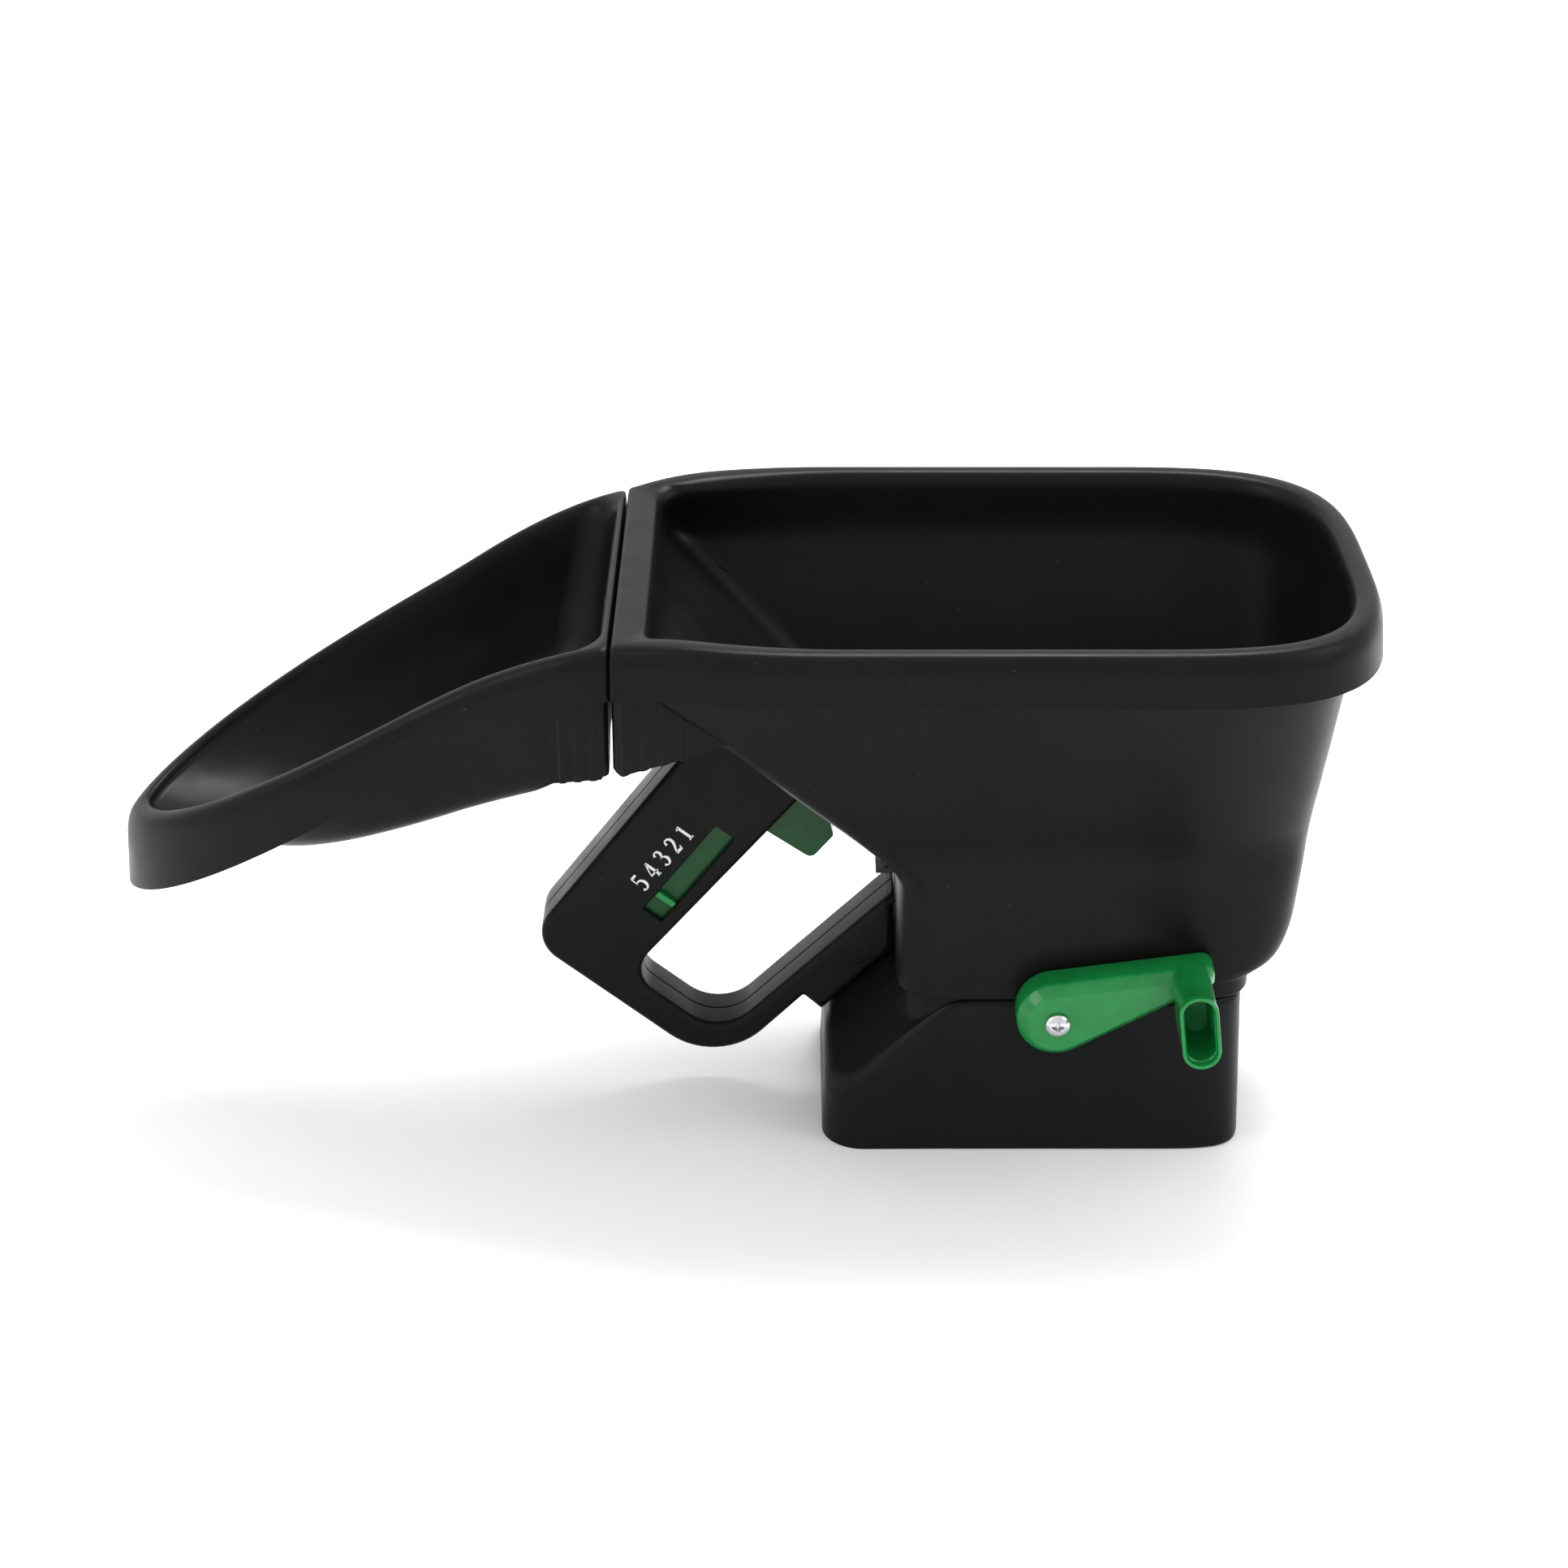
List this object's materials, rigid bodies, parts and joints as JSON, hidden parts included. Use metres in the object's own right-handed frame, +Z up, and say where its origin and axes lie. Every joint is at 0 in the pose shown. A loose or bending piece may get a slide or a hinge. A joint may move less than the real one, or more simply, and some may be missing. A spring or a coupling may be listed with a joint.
{
  "type": "hand-held broadcast spreader",
  "caption": "Hand-held crank spreader: open hopper with arm rest, D handle with trigger and setting slider, side crank that spins a throwing disc in an open base.",
  "frame": {"origin": "on the ground under the middle of the object's box", "axes": "+X from the arm rest's tip to the hopper's round end, +Y away from the crank, +Z up"},
  "size_m": [0.513, 0.207, 0.247],
  "materials": {
    "black_plastic": "satin moulded black",
    "green_plastic": "glossy green",
    "gear_plastic": "natural moulding",
    "dark_plastic": "satin dark grey",
    "zinc_steel": "zinc plated",
    "brass_bush": "plain turned"
  },
  "bodies": {
    "frame": {"hopper": "black_plastic", "arm_rest": "black_plastic", "arm_rest_screw_near": "zinc_steel", "arm_rest_screw_far": "zinc_steel", "arm_rest_nut_near": "zinc_steel", "arm_rest_nut_far": "zinc_steel", "handle_near": "black_plastic", "handle_far": "black_plastic", "handle_foot_screw": "zinc_steel", "handle_tongue_screw": "zinc_steel", "handle_leg_screw": "zinc_steel", "handle_plug": "black_plastic", "seat_screw": "zinc_steel", "trigger_pin": "zinc_steel", "trigger_spring": "zinc_steel", "gate_guide": "dark_plastic", "guide_screw_near": "zinc_steel", "guide_screw_far": "zinc_steel", "base_housing": "black_plastic", "base_screw_1": "zinc_steel", "base_screw_2": "zinc_steel", "base_screw_3": "zinc_steel", "base_screw_4": "zinc_steel", "gear_bracket": "dark_plastic", "bracket_screw_near": "zinc_steel", "bracket_screw_far": "zinc_steel", "shaft_bush": "brass_bush", "crank_bush": "brass_bush"},
    "crank_unit": {"crank": "green_plastic", "crank_screw": "zinc_steel", "crank_shaft": "zinc_steel", "crown_gear": "gear_plastic"},
    "spinner_unit": {"spinner_disc": "green_plastic", "spinner_shaft": "zinc_steel", "spinner_screw": "zinc_steel", "pinion": "gear_plastic", "agitator": "green_plastic"},
    "trigger_lever": {"trigger": "green_plastic"},
    "gate": {"gate_plate": "green_plastic", "gate_rod": "zinc_steel"},
    "slider": {"setting_slider": "green_plastic"}
  },
  "joints": [
    {"name": "crank_spin", "type": "hinge", "parent": "frame", "child": "crank_unit", "pos_m": [0.1305, 0, 0.0715], "axis": [0, 1, 0], "continuous": true},
    {"name": "spinner_spin", "type": "hinge", "parent": "frame", "child": "spinner_unit", "pos_m": [0.1305, 0, 0.0515], "axis": [0, 0, 1], "continuous": true},
    {"name": "trigger_pull", "type": "hinge", "parent": "frame", "child": "trigger_lever", "pos_m": [0.026, 0, 0.156], "axis": [0, 1, 0], "range_deg": [0, 22], "stiffness_Nm_per_rad": 0.5, "springref_deg": -14.32, "deforming": ["trigger_spring"]},
    {"name": "gate_slide", "type": "slide", "parent": "frame", "child": "gate", "axis": [-1, 0, 0], "range_m": [0, 0.0095]},
    {"name": "setting_slide", "type": "slide", "parent": "frame", "child": "slider", "axis": [0.6184, 0, 0.7859], "range_m": [0, 0.0302]}
  ],
  "couplings": [
    {"joint": "spinner_spin", "follows": "crank_spin", "ratio": -3},
    {"joint": "gate_slide", "follows": "trigger_pull", "m_per_rad": 0.0243}
  ]
}
